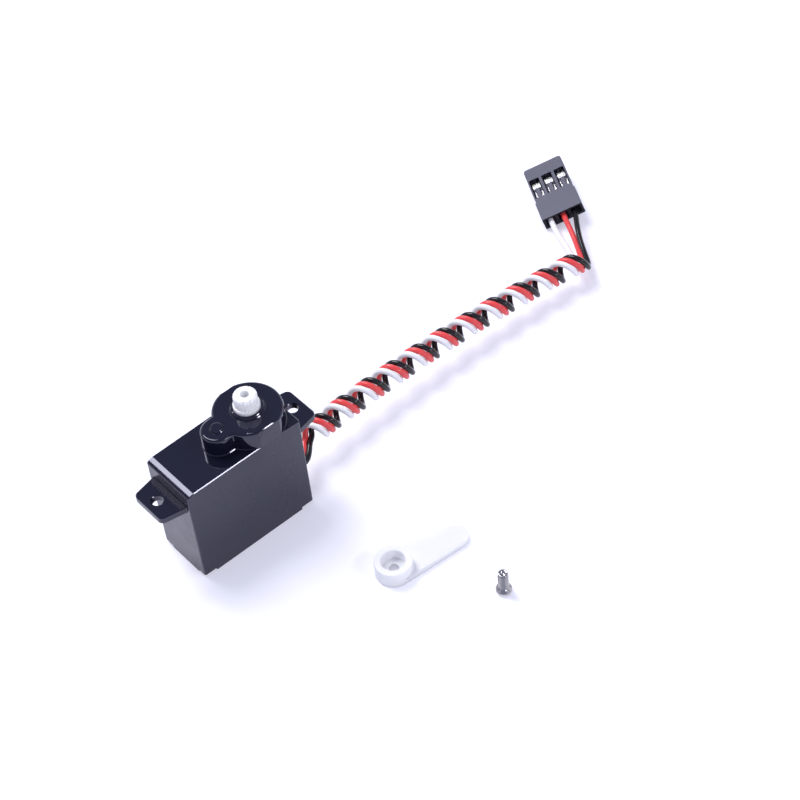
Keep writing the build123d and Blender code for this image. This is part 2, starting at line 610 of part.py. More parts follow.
def make_motor_pinion():
    low = BULKHEAD_BOTTOM_Z + MOTOR_BOSS_HEIGHT + THRUST_GAP
    high = LEVEL_1_Z + WHEEL_THICKNESS + THRUST_GAP
    pinion = gear_layer(MOTOR_PINION_TEETH, low, high, MOTOR_X)
    return pinion - cylinder(MOTOR_SHAFT_RADIUS, low, high, MOTOR_X)


# ---------------------------------------------------------------- potentiometer and board


def make_pot_body():
    body = cylinder(POT_RADIUS, POT_BOTTOM_Z, BULKHEAD_BOTTOM_Z)
    socket = POT_BOTTOM_Z + BULKHEAD
    return body - cylinder(POT_SHAFT_RADIUS + RUNNING_CLEARANCE, socket, BULKHEAD_BOTTOM_Z)


def make_pot_shaft():
    low = POT_BOTTOM_Z + BULKHEAD + THRUST_GAP
    high = PARTING_Z + THRUST_GAP + POT_SHAFT_OVERLAP
    return cylinder(POT_SHAFT_RADIUS, low, high)


def make_pot_pins():
    x = -POT_RADIUS + WALL
    x_range = (x, x + POT_PIN_THICKNESS)
    half = POT_PIN_WIDTH / 2
    pins = [
        block(x_range, (n * POT_PIN_PITCH - half, n * POT_PIN_PITCH + half), (BOARD_TOP_Z, POT_BOTTOM_Z))
        for n in (-1, 0, 1)
    ]
    return Compound(pins)


def make_board():
    x_range = (BOARD_MOTOR_END_X, LEAD_END_X - WALL - BOARD_CLEARANCE)
    side = HALF_WIDTH - WALL - BOARD_CLEARANCE
    board = block(x_range, (-side, side), (BOARD_BOTTOM_Z, BOARD_TOP_Z))
    for x, y in SCREW_PLACES:
        clear = COLUMN_HALF + BOARD_CLEARANCE
        notch_x = (x, x_range[1]) if x > CASE_MID_X else (x_range[0], x)
        notch_y = (y, side) if y > 0 else (-side, y)
        notch_x = (notch_x[0] - clear, notch_x[1] + clear)
        notch_y = (notch_y[0] - clear, notch_y[1] + clear)
        board -= block(notch_x, notch_y, (BOARD_BOTTOM_Z, BOARD_TOP_Z))
    return board


def make_chip():
    x = MOTOR_X - CHIP_REACH
    half = CHIP_WIDTH / 2
    return block((x, x + CHIP_LENGTH), (-half, half), (BOARD_TOP_Z, BOARD_TOP_Z + CHIP_HEIGHT))


def make_capacitor():
    x = MOTOR_X + MOTOR_RADIUS + CAPACITOR_GAP
    half = CAPACITOR_WIDTH / 2
    z_range = (BOARD_TOP_Z, BOARD_TOP_Z + CAPACITOR_HEIGHT)
    return block((x, x + CAPACITOR_LENGTH), (-half, half), z_range)


# ---------------------------------------------------------------- lead


def make_gland():
    """Strain relief: a block in the wall slot with a flange inside and a bore for each wire."""
    flange_x = (LEAD_END_X - WALL - GLAND_FLANGE, LEAD_END_X - WALL)
    wide = GLAND_WIDTH / 2 + GLAND_FLANGE
    flange_y = (WIRE_EXIT_Y - wide, WIRE_EXIT_Y + wide)
    flange_top = WIRE_EXIT_Z + GLAND_HEIGHT / 2 + GLAND_FLANGE
    gland = gland_hole() + block(flange_x, flange_y, (BOARD_TOP_Z, flange_top))
    bore = WIRE_DIAMETER / 2 * 1.05 + FIT_CLEARANCE
    for n in (-1, 0, 1):
        y = WIRE_EXIT_Y + n * WIRE_EXIT_PITCH
        hole = Plane(origin=(flange_x[0], y, WIRE_EXIT_Z), z_dir=(1, 0, 0))
        gland -= extrude(hole * Circle(bore), WALL + GLAND_FLANGE)
    return gland


def curl_axis(x):
    """Centre line of the curled stretch at a given x."""
    start, end = Vector(*CURL_AXIS_START), Vector(*CURL_AXIS_END)
    t = (x - start.X) / (end.X - start.X)
    return start + (end - start) * t + Vector(0, CURL_AXIS_BOW * 4 * t * (1 - t), 0)


def curl_point(angle, wire):
    """Point of a wire's helix. angle is in radians, wire is 0, 1 or 2."""
    x = CURL_FIRST_X - wire * CURL_SPACING + CURL_PITCH * angle / (2 * math.pi)
    return curl_axis(x) + Vector(0, CURL_RADIUS * math.cos(angle), CURL_RADIUS * math.sin(angle))


def curl_tangent(angle, wire):
    step = 1e-4
    return (curl_point(angle + step, wire) - curl_point(angle - step, wire)).normalized()


def arc_from_tangent(start, end, tangent, side):
    """Arc between two points that has the tangent at its start (side 1) or at its end (side -1)."""
    chord = end - start
    along = chord.normalized()
    cosine = min(1.0, tangent.dot(along))
    bulge = (tangent - along * cosine).normalized() * side
    height = chord.length / 2 * math.tan(math.acos(cosine) / 2)
    return ThreePointArc(start, (start + end) * 0.5 + bulge * height, end)


def biarc(start, start_tangent, end, end_tangent):
    """Two arcs that meet smoothly, through two points with given tangents."""
    chord, total = end - start, start_tangent + end_tangent
    a = 2 * (1 - start_tangent.dot(end_tangent))
    b = chord.dot(total)
    reach = (-b + math.sqrt(b * b + a * chord.dot(chord))) / a
    joint = (start + end + (start_tangent - end_tangent) * reach) * 0.5
    return [
        arc_from_tangent(start, joint, start_tangent, 1),
        arc_from_tangent(joint, end, end_tangent, -1),
    ]


def plug_plane():
    """The plug's own frame: +X to its nose, +Z out of its windowed face, origin at the wire end's foot."""
    heading, lean = math.radians(PLUG_HEADING), math.radians(PLUG_LEAN)
    nose = Vector(math.cos(heading), math.sin(heading), 0)
    right = Vector(math.sin(heading), -math.cos(heading), 0)
    up = Vector(0, 0, 1) * math.cos(lean) - right * math.sin(lean)
    height = PLUG_WIDTH / 2 * math.sin(lean)
    return Plane(origin=(PLUG_REAR[0], PLUG_REAR[1], height), x_dir=nose, z_dir=up)


def wire_route(wire):
    """Path of one wire: out of the case, through its curls, to its cavity in the plug."""
    y = WIRE_EXIT_Y + (wire - 1) * WIRE_EXIT_PITCH
    exit_point = Vector(LEAD_END_X + WIRE_DIAMETER, y, WIRE_EXIT_Z)
    inner_end = Vector(LEAD_END_X - WIRE_TAIL, y, WIRE_EXIT_Z)
    first = math.radians(CURL_START_ANGLE + wire * CURL_FAN_ANGLE)
    last = math.radians(360 * CURL_COUNT + CURL_END_ANGLE)
    quarters = round((last - first) / (math.pi / 2))
    angles = [first + (last - first) * n / quarters for n in range(quarters + 1)]
    frame = plug_plane()
    cavity_y = (wire - 1) * PLUG_PITCH
    plug_end = frame.from_local_coords(Vector(WIRE_INTO_PLUG, cavity_y, PLUG_THICKNESS / 2))
    plug_start = frame.from_local_coords(Vector(-WIRE_DIAMETER, cavity_y, PLUG_THICKNESS / 2))
    path = [Line(inner_end, exit_point)]
    path += biarc(exit_point, Vector(1, 0, 0), curl_point(first, wire), curl_tangent(first, wire))
    for a, b in zip(angles, angles[1:]):
        path += biarc(curl_point(a, wire), curl_tangent(a, wire), curl_point(b, wire), curl_tangent(b, wire))
    path += biarc(curl_point(last, wire), curl_tangent(last, wire), plug_start, frame.x_dir)
    path.append(Line(plug_start, plug_end))
    return Wire(path)


def make_wire(wire):
    """One insulated wire as a single faceted tube."""
    route = wire_route(wire)
    start = Plane(origin=route @ 0, z_dir=route % 0)
    section = start * RegularPolygon(WIRE_DIAMETER / 2 * 1.05, WIRE_FACETS)
    tube = sweep(section, path=route, clean=False)
    report_wire(wire, route, tube, section)
    return tube


def least_gap(points, others, skip):
    """Least distance between two point rows, leaving out neighbours along the same wire."""
    least = math.inf
    for i, p in enumerate(points):
        for j, q in enumerate(others):
            if abs(i - j) >= skip:
                least = min(least, (p - q).length)
    return least


def report_wire(wire, route, tube, section):
    """Prints a wire's length, bends and least gap to itself."""
    count = round(route.length)
    points = [route @ (n / count) for n in range(count + 1)]
    half_turn = round(math.pi * CURL_RADIUS)
    gap = least_gap(points, points, half_turn) - WIRE_DIAMETER * 1.05
    radii = [e.radius for e in route.edges() if e.geom_type == GeomType.CIRCLE]
    print(
        f"wire {wire}: length {route.length:.1f}, least radius {min(radii):.2f}, gap to itself {gap:.2f}, "
        f"volume {tube.volume:.2f}, section x length {section.area * route.length:.2f}"
    )


def make_plug():
    half = PLUG_WIDTH / 2
    step = PLUG_GRIP_STEP
    nose = extrude(Pos(PLUG_LENGTH / 2, 0, 0) * Rectangle(PLUG_LENGTH, PLUG_WIDTH - 2 * step), PLUG_THICKNESS)
    nose = fillet(nose.edges().filter_by(Axis.Z).group_by(Axis.X)[-1], PLUG_EDGE_RADIUS)
    body = nose + block((0, PLUG_GRIP_LENGTH), (-half, half), (0, PLUG_THICKNESS))
    middle = PLUG_THICKNESS / 2
    for n in (-1, 0, 1):
        y = n * PLUG_PITCH
        wide = (y - PLUG_CAVITY / 2, y + PLUG_CAVITY / 2)
        tall = (middle - PLUG_CAVITY / 2, middle + PLUG_CAVITY / 2)
        body -= block((0, PLUG_LENGTH - PLUG_NOSE_WALL), wide, tall)
        small = (y - PLUG_NOSE_HOLE / 2, y + PLUG_NOSE_HOLE / 2)
        low = (middle - PLUG_NOSE_HOLE / 2, middle + PLUG_NOSE_HOLE / 2)
        body -= block((PLUG_LENGTH - PLUG_NOSE_WALL, PLUG_LENGTH), small, low)
        window_end = PLUG_WINDOW_START + PLUG_WINDOW_LENGTH
        body -= block((PLUG_WINDOW_START, window_end), wide, (middle, PLUG_THICKNESS))
        latch_x = (PLUG_WINDOW_START, PLUG_WINDOW_START + LATCH_LENGTH)
        latch_y = (y - LATCH_WIDTH / 2, y + LATCH_WIDTH / 2)
        body += block(latch_x, latch_y, (PLUG_THICKNESS - LATCH_THICKNESS, PLUG_THICKNESS))
    return plug_plane().location * body


def make_crimp(n):
    """Folded sheet terminal in one cavity: a U channel that grips the wire and a socket box at the nose."""
    y = n * PLUG_PITCH
    start = WIRE_INTO_PLUG + THRUST_GAP
    end = start + CRIMP_LENGTH
    low = (PLUG_THICKNESS - PLUG_CAVITY) / 2
    outer_y = (y - CRIMP_WIDTH / 2, y + CRIMP_WIDTH / 2)
    inner_y = (outer_y[0] + CRIMP_SHEET, outer_y[1] - CRIMP_SHEET)
    socket = block((end - CRIMP_LENGTH / 3, end), outer_y, (low, low + CRIMP_HEIGHT))
    socket -= block((end - CRIMP_LENGTH / 3, end), inner_y, (low + CRIMP_SHEET, low + CRIMP_HEIGHT - CRIMP_SHEET))
    channel = block((start, end), outer_y, (low, low + CRIMP_HEIGHT / 2))
    channel -= block((start, end), inner_y, (low + CRIMP_SHEET, low + CRIMP_HEIGHT))
    return plug_plane().location * (channel + socket)


# ---------------------------------------------------------------- horn and its screw


def make_horn():
    """One-arm horn lying on the flat side of its arm, with the hub's socket upwards."""
    tip_x = HORN_LENGTH - HORN_TIP_RADIUS
    arm = make_hull((Circle(HORN_HUB_RADIUS) + Pos(tip_x, 0) * Circle(HORN_TIP_RADIUS)).edges())
    horn = extrude(arm, HORN_ARM_THICKNESS) + cylinder(HORN_HUB_RADIUS, 0, HORN_HUB_HEIGHT)
    socket = SPLINE_RADIUS + FIT_CLEARANCE
    horn -= cylinder(socket, HORN_HUB_HEIGHT - HORN_SOCKET_DEPTH, HORN_HUB_HEIGHT)
    horn -= cylinder(HORN_SCREW_RADIUS + FIT_CLEARANCE, 0, HORN_HUB_HEIGHT)
    horn -= cylinder(HORN_SEAT_RADIUS, 0, HORN_SEAT_DEPTH)
    return Pos(HORN_CENTRE[0], HORN_CENTRE[1], 0) * (Rot(0, 0, HORN_HEADING) * horn)


def make_horn_screw():
    """Horn screw standing on its head, with a cupped tip."""
    x, y = HORN_SCREW_CENTRE
    head = cylinder(HORN_SCREW_HEAD_RADIUS, 0, HORN_SCREW_HEAD_HEIGHT, x, y)
    head = chamfer(head.edges().group_by(Axis.Z)[0], HORN_SCREW_HEAD_CHAMFER)
    screw = head + cylinder(HORN_SCREW_RADIUS, HORN_SCREW_HEAD_HEIGHT, HORN_SCREW_LENGTH, x, y)
    cup_radius = HORN_SCREW_RADIUS * 0.7
    cup = Pos(x, y, HORN_SCREW_LENGTH - HORN_SCREW_CUP) * Cone(
        cup_radius / 3, cup_radius, HORN_SCREW_CUP, align=(Align.CENTER, Align.CENTER, Align.MIN)
    )
    return screw - cup


def build():
    """Every sub-part by name."""
    parts = {
        "bottom_cover": make_bottom_cover(),
        "middle_case": make_middle_case(),
        "top_housing": make_top_housing(),
        "idler_pin": make_idler_pin(),
        "gear_1": make_gear_1(),
        "gear_2": make_gear_2(),
        "gear_3": make_gear_3(),
        "output_shaft": make_output_shaft(),
        "motor_can": make_motor_can(),
        "motor_cap": make_motor_cap(),
        "motor_terminals": make_motor_terminals(),
        "motor_magnets": make_magnets(),
        "motor_rotor": make_rotor(),
        "motor_pinion": make_motor_pinion(),
        "pot_body": make_pot_body(),
        "pot_shaft": make_pot_shaft(),
        "pot_pins": make_pot_pins(),
        "circuit_board": make_board(),
        "control_chip": make_chip(),
        "capacitor": make_capacitor(),
        "lead_gland": make_gland(),
        "plug_housing": make_plug(),
        "horn": make_horn(),
        "horn_screw": make_horn_screw(),
    }
    for number, (x, y) in enumerate(SCREW_PLACES, 1):
        parts[f"case_screw_{number}"] = make_case_screw(x, y)
    for wire, colour in enumerate(("black", "red", "white")):
        parts[f"lead_wire_{colour}"] = make_wire(wire)
        parts[f"plug_crimp_{colour}"] = make_crimp(wire - 1)
    return parts


if __name__ == "__main__":
    os.makedirs("parts", exist_ok=True)
    for name, shape in build().items():
        export_step(shape, f"parts/{name}.step")
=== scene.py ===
import math

import bmesh
import bpy
from mathutils import Matrix, Vector


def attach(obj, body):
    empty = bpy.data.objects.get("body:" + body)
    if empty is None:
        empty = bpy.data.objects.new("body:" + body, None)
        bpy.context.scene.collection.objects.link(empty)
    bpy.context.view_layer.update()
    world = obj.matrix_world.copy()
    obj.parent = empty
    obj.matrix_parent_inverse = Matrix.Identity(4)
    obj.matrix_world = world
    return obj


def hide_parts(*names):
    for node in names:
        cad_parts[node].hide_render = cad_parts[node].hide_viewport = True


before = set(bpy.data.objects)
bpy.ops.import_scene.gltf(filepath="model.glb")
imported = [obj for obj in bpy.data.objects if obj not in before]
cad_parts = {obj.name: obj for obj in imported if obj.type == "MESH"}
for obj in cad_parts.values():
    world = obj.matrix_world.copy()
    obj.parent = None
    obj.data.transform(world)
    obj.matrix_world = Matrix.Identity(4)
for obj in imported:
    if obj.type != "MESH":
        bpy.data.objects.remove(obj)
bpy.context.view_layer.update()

# ------------------------------------------------------------------ Viewpoint
# A long lens looks down on the servo from its front left corner. It takes in the lead, the plug
# and the loose horn and screw.
VIEW_PLACE = (-0.11947, -0.20788, 0.28438)
VIEW_TURN = math.radians(-35.75)
VIEW_DROP = math.radians(47.78)
VIEW_ROLL = math.radians(-6.95)
viewpoint_data = bpy.data.cameras.new("viewpoint")
viewpoint_data.lens = 99.0
viewpoint_data.sensor_width = 36.0
viewpoint_data.clip_start = 0.01
viewpoint = bpy.data.objects.new("viewpoint", viewpoint_data)
viewpoint.matrix_world = (
    Matrix.Translation(VIEW_PLACE)
    @ Matrix.Rotation(VIEW_TURN, 4, "Z")
    @ Matrix.Rotation(math.pi / 2 - VIEW_DROP, 4, "X")
    @ Matrix.Rotation(VIEW_ROLL, 4, "Z")
)
bpy.context.scene.collection.objects.link(viewpoint)
bpy.context.scene.camera = viewpoint

# ------------------------------------------------------------------ Lead wires
# Three stranded copper wires in soft vinyl, black, red and white. They leave the case side by side,
# are wound into one long curl, and fan out again into the plug's three cavities.
WIRE_DIAMETER = 0.00105
WALL_X = 0.00595
LINE_ENDS_X = (-0.0006, 0.0004)  # from the wall's outer face
EXIT_Y = 0.0005                  # middle wire
EXIT_Z = 0.0044
EXIT_PITCH = 0.0012
CURLS = 11
CURL_START_RADIUS = 0.0018
CURL_END_RADIUS = 0.0017
CURL_PITCH = 0.00574
CURL_FIRST_X = 0.0140
CURL_SPACING = 0.00138
CURL_AXIS_START = Vector((0.0160, 0.00218, 0.00615))
CURL_AXIS_END = Vector((0.0730, 0.00077, 0.0044))
CURL_AXIS_BOW = 0.00134
POINTS_PER_CURL = 12
CURL_START = (-68, -55, -42)     # degrees round the curl, for each wire
CURL_END = 360 * CURLS - 110
CAVITY_ENTRY = (-0.0006, 0.0030)  # along the plug, from its rear end
ENTRY_SHIFT = (0.0003, 0, 0)
PLUG_REAR = Vector((0.0820, 0.01256, 0.0))
PLUG_HEADING = math.radians(62.4)
PLUG_LEAN = math.radians(17.2)
PLUG_PITCH = 0.00254
PLUG_WIDTH = 0.0080
PLUG_THICKNESS = 0.0027
plug_nose = Vector((math.cos(PLUG_HEADING), math.sin(PLUG_HEADING), 0))
plug_right = Vector((math.sin(PLUG_HEADING), -math.cos(PLUG_HEADING), 0))
plug_up = Vector((0, 0, 1)) * math.cos(PLUG_LEAN) - plug_right * math.sin(PLUG_LEAN)
plug_across = plug_up.cross(plug_nose)
plug_foot = PLUG_REAR + Vector((0, 0, PLUG_WIDTH / 2 * math.sin(PLUG_LEAN)))


def on_plug(along, across, height):
    """Point in the plug's own directions: nose, side, windowed face."""
    return plug_foot + plug_nose * along + plug_across * across + plug_up * height


def curl_control(degrees, wire):
    """Control point of a wire's curl, far enough out for the line itself to keep the radius."""
    x = CURL_FIRST_X - wire * CURL_SPACING + CURL_PITCH * degrees / 360
    t = (x - CURL_AXIS_START.x) / (CURL_AXIS_END.x - CURL_AXIS_START.x)
    axis = CURL_AXIS_START.lerp(CURL_AXIS_END, t) + Vector((0, CURL_AXIS_BOW * 4 * t * (1 - t), 0))
    radius = CURL_START_RADIUS + (CURL_END_RADIUS - CURL_START_RADIUS) * t
    reach = 1 / (0.5 + 0.5 * math.cos(math.pi / POINTS_PER_CURL))
    turn = math.radians(degrees)
    return axis + Vector((0, math.cos(turn), math.sin(turn))) * (radius * reach)


# From the wall up to the first curl, and from the last curl to the plug, in millimetres.
FIRST_BEND = (
    ((7.5, -1.1, 4.35), (9.1, -0.75, 4.3), (10.5, 0.45, 4.45), (11.4, 1.5, 4.6)),
    ((7.1, 0.3, 4.4), (8.9, 0.4, 4.3), (10.2, 1.35, 4.4), (10.75, 2.35, 4.6)),
    ((7.0, 1.7, 4.4), (8.0, 1.9, 4.35), (8.9, 2.5, 4.4), (9.6, 3.1, 4.65)),
)
LAST_BEND = (
    ((76.1, 0.5, 2.55), (77.5, 3.0, 2.5), (79.2, 6.0, 2.75), (81.4, 9.1, 3.15)),
    ((75.3, 1.1, 2.45), (76.9, 3.6, 2.2), (78.5, 6.3, 2.2), (80.0, 9.2, 2.4)),
    ((74.3, 1.7, 2.4), (75.6, 4.3, 1.9), (76.9, 7.2, 1.7), (77.9, 10.3, 1.7)),
)


def wire_points(wire):
    """Control points of one wire's line, from just inside the wall to its cavity in the plug."""
    y = EXIT_Y + (wire - 1) * EXIT_PITCH
    points = [Vector((WALL_X + step_out, y, EXIT_Z)) for step_out in LINE_ENDS_X]
    points += [Vector(place) / 1000 for place in FIRST_BEND[wire]]
    first = CURL_START[wire]
    steps = round((CURL_END - first) / (360 / POINTS_PER_CURL))
    for step in range(steps + 1):
        points.append(curl_control(first + step * (CURL_END - first) / steps, wire))
    points += [Vector(place) / 1000 for place in LAST_BEND[wire]]
    across = (wire - 1) * PLUG_PITCH + ENTRY_SHIFT[wire]
    for along in CAVITY_ENTRY:
        points.append(on_plug(along, across, PLUG_THICKNESS / 2))
    return points


def wire_curve(name, wire):
    """Round vinyl sleeve along one wire's line."""
    data = bpy.data.curves.new(name, "CURVE")
    data.dimensions = "3D"
    points = wire_points(wire)
    line = data.splines.new("NURBS")
    line.points.add(len(points) - 1)
    for control, place in zip(line.points, points):
        control.co = (*place, 1)
    line.order_u = 3
    line.use_endpoint_u = True
    data.resolution_u = 6
    data.bevel_depth = WIRE_DIAMETER / 2
    data.bevel_resolution = 5
    data.use_fill_caps = True
    piece = bpy.data.objects.new(name, data)
    bpy.context.scene.collection.objects.link(piece)
    return piece


SOCKETS = {
    "metal": "Metallic",
    "specular": "Specular IOR Level",
    "tint": "Specular Tint",
    "coat": "Coat Weight",
    "coat_roughness": "Coat Roughness",
    "subsurface": "Subsurface Weight",
    "subsurface_scale": "Subsurface Scale",
    "subsurface_radius": "Subsurface Radius",
}


def new_material(name, **sockets):
    """Material with one Principled shader whose plain values are set on its own sockets."""
    material = bpy.data.materials.new(name)
    material.use_nodes = True
    shader = material.node_tree.nodes["Principled BSDF"]
    for socket, value in sockets.items():
        shader.inputs[SOCKETS[socket]].default_value = value
    return material, material.node_tree, shader


def empty_skin_group(name, inputs):
    """Node group that takes these inputs and gives a skin's colour, roughness and bump height."""
    group = bpy.data.node_groups.new(name, "ShaderNodeTree")
    for way, sockets in (("INPUT", inputs), ("OUTPUT", ("Colour", "Roughness", "Height"))):
        for socket in sockets:
            kind = "NodeSocketColor" if socket == "Colour" else "NodeSocketFloat"
            group.interface.new_socket(socket, in_out=way, socket_type=kind)
    return group, group.nodes.new("NodeGroupInput"), group.nodes.new("NodeGroupOutput")


def wear_skin(tree, shader, group, values, bump_depth):
    """Puts a skin with these values on a material."""
    skin = tree.nodes.new("ShaderNodeGroup")
    skin.node_tree = group
    for socket, value in values.items():
        skin.inputs[socket].default_value = value
    tree.links.new(skin.outputs["Colour"], shader.inputs["Base Color"])
    tree.links.new(skin.outputs["Roughness"], shader.inputs["Roughness"])
    bump = tree.nodes.new("ShaderNodeBump")
    bump.inputs["Distance"].default_value = bump_depth
    tree.links.new(skin.outputs["Height"], bump.inputs["Height"])
    tree.links.new(bump.outputs["Normal"], shader.inputs["Normal"])
    return skin


def moulded_skin_group():
    """Skin of a moulded plastic: faint cloudiness, patches of uneven gloss and a fine grain."""
    group, given, out = empty_skin_group(
        "moulded skin", ("Colour", "Cloud", "Cloud Scale", "Gloss Low", "Gloss High", "Grain Scale")
    )
    nodes, links = group.nodes, group.links
    place = nodes.new("ShaderNodeTexCoord")
    cloud, patches, grain = (nodes.new("ShaderNodeTexNoise") for _ in range(3))
    for texture in (cloud, patches, grain):
        links.new(place.outputs["Object"], texture.inputs["Vector"])
    links.new(given.outputs["Cloud Scale"], cloud.inputs["Scale"])
    patches.inputs["Scale"].default_value = 260
    patches.inputs["Detail"].default_value = 5
    links.new(given.outputs["Grain Scale"], grain.inputs["Scale"])
    grain.inputs["Detail"].default_value = 3
    lighter = nodes.new("ShaderNodeMix")
    lighter.data_type = "RGBA"
    lighter.blend_type = "SCREEN"
    spread = nodes.new("ShaderNodeMath")
    spread.operation = "MULTIPLY"
    links.new(cloud.outputs["Fac"], spread.inputs[0])
    links.new(given.outputs["Cloud"], spread.inputs[1])
    links.new(spread.outputs[0], lighter.inputs["Factor"])
    links.new(given.outputs["Colour"], lighter.inputs["A"])
    lighter.inputs["B"].default_value = (0.5, 0.5, 0.55, 1)
    links.new(lighter.outputs["Result"], out.inputs["Colour"])
    gloss = nodes.new("ShaderNodeMapRange")
    links.new(patches.outputs["Fac"], gloss.inputs["Value"])
    gloss.inputs["From Min"].default_value = 0.35
    gloss.inputs["From Max"].default_value = 0.65
    links.new(given.outputs["Gloss Low"], gloss.inputs["To Min"])
    links.new(given.outputs["Gloss High"], gloss.inputs["To Max"])
    links.new(gloss.outputs["Result"], out.inputs["Roughness"])
    links.new(grain.outputs["Fac"], out.inputs["Height"])
    return group


moulded_skin = moulded_skin_group()


def dress_moulded(tree, shader, colour, cloud, cloud_scale, gloss, grain_scale, grain_depth):
    """Puts the moulded skin on a material."""
    return wear_skin(tree, shader, moulded_skin, {
        "Colour": (*colour, 1),
        "Cloud": cloud,
        "Cloud Scale": cloud_scale,
        "Gloss Low": gloss[0],
        "Gloss High": gloss[1],
        "Grain Scale": grain_scale,
    }, grain_depth)


for wire, (colour_name, colour, gloss) in enumerate((
    ("black", (0.007, 0.006, 0.008), (0.14, 0.22)),
    ("red", (0.86, 0.075, 0.075), (0.18, 0.28)),
    ("white", (0.95, 0.95, 0.98), (0.18, 0.28)),
)):
    vinyl, tree, shader = new_material(
        f"{colour_name} vinyl", specular=0.1, coat=0.7, coat_roughness=0.03
    )
    dress_moulded(tree, shader, colour, 0.02, 90, gloss, 2600, 0.000002)
    piece = wire_curve(f"wire_{colour_name}", wire)
    piece.data.materials.append(vinyl)
    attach(piece, "case")
    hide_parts(f"lead_wire_{colour_name}")

# ------------------------------------------------------------------ Plug
# Three-way crimp housing in dark grey plastic, moulded with a window over each cavity. Folded
# tin-plated crimps snap in behind the windows. It lies tilted, because the lead's twist holds one
# side up. Its rear end, where the cavities open, is dull, and painted almost black as painted
# shade.
PLUG_EDGE = 0.00012
CREASE = math.radians(35)      # an edge sharper than this is broken
FLAT = math.radians(1)
SHADING_EDGE = math.radians(16)
WELD = 2e-6
LEVEL_TOLERANCE = 1e-5
# Painted shade for the faces turned towards the plug's rear end, and the roughness they get.
REAR_PAINTED_SHADE = (0.002, 0.002, 0.003, 1)
REAR_ROUGHNESS = 0.95


def softened_copy(name, node, width, material, body, segments=2, seam_levels=()):
    """Copy of a node's solid with its loose triangles joined and its sharp edges broken.

    Edges that lie flat at one of seam_levels stay sharp.
    """
    mesh = bpy.data.meshes.new(name)
    shape = bmesh.new()
    shape.from_mesh(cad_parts[node].data)
    bmesh.ops.remove_doubles(shape, verts=shape.verts, dist=WELD)
    bmesh.ops.dissolve_limit(
        shape, angle_limit=FLAT, verts=shape.verts, edges=shape.edges, delimit=set()
    )
    rounded = [
        edge for edge in shape.edges
        if len(edge.link_faces) == 2 and edge.calc_face_angle(0) > CREASE
        and not any(
            all(abs(corner.co.z - level) < LEVEL_TOLERANCE for corner in edge.verts)
            for level in seam_levels
        )
    ]
    bmesh.ops.bevel(
        shape, geom=rounded, offset=width, offset_type="OFFSET", affect="EDGES",
        segments=segments, profile=0.5, material=-1, clamp_overlap=False,
    )
    for face in shape.faces:
        face.smooth = True
    shape.to_mesh(mesh)
    shape.free()
    mesh.set_sharp_from_angle(angle=SHADING_EDGE)
    mesh.materials.append(material)
    piece = bpy.data.objects.new(name, mesh)
    bpy.context.scene.collection.objects.link(piece)
    even = piece.modifiers.new("even shading", "WEIGHTED_NORMAL")
    even.keep_sharp = True
    even.weight = 100
    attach(piece, body)
    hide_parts(node)
    return piece


plug_black, tree, shader = new_material(
    "plug black plastic", specular=0.9, tint=(0.80, 0.81, 1.0, 1)
)
skin = dress_moulded(
    tree, shader, (0.058, 0.058, 0.080), 0.01, 220, (0.38, 0.48), 5200, 0.000006
)
# Faces turned towards the plug's rear end get a near-black painted shade and a high roughness.
place, rearward = tree.nodes.new("ShaderNodeTexCoord"), tree.nodes.new("ShaderNodeVectorMath")
rear_shade_and_dull_mask = tree.nodes.new("ShaderNodeMapRange")
rearward.operation = "DOT_PRODUCT"
tree.links.new(place.outputs["Normal"], rearward.inputs[0])
rearward.inputs[1].default_value = -plug_nose
tree.links.new(rearward.outputs["Value"], rear_shade_and_dull_mask.inputs["Value"])
rear_shade_and_dull_mask.inputs["From Min"].default_value = 0.4
rear_shade_and_dull_mask.inputs["From Max"].default_value = 0.8
for socket, kind, skin_output, rear_shade_and_dull_value in (
    ("Base Color", "RGBA", "Colour", REAR_PAINTED_SHADE),
    ("Roughness", "FLOAT", "Roughness", REAR_ROUGHNESS),
):
    blend = tree.nodes.new("ShaderNodeMix")
    blend.data_type = kind
    tree.links.new(rear_shade_and_dull_mask.outputs["Result"], blend.inputs["Factor"])
    tree.links.new(skin.outputs[skin_output], blend.inputs["A"])
    blend.inputs["B"].default_value = rear_shade_and_dull_value
    tree.links.new(blend.outputs["Result"], shader.inputs[socket])
plug = softened_copy("plug_body", "plug_housing", PLUG_EDGE, plug_black, "case")


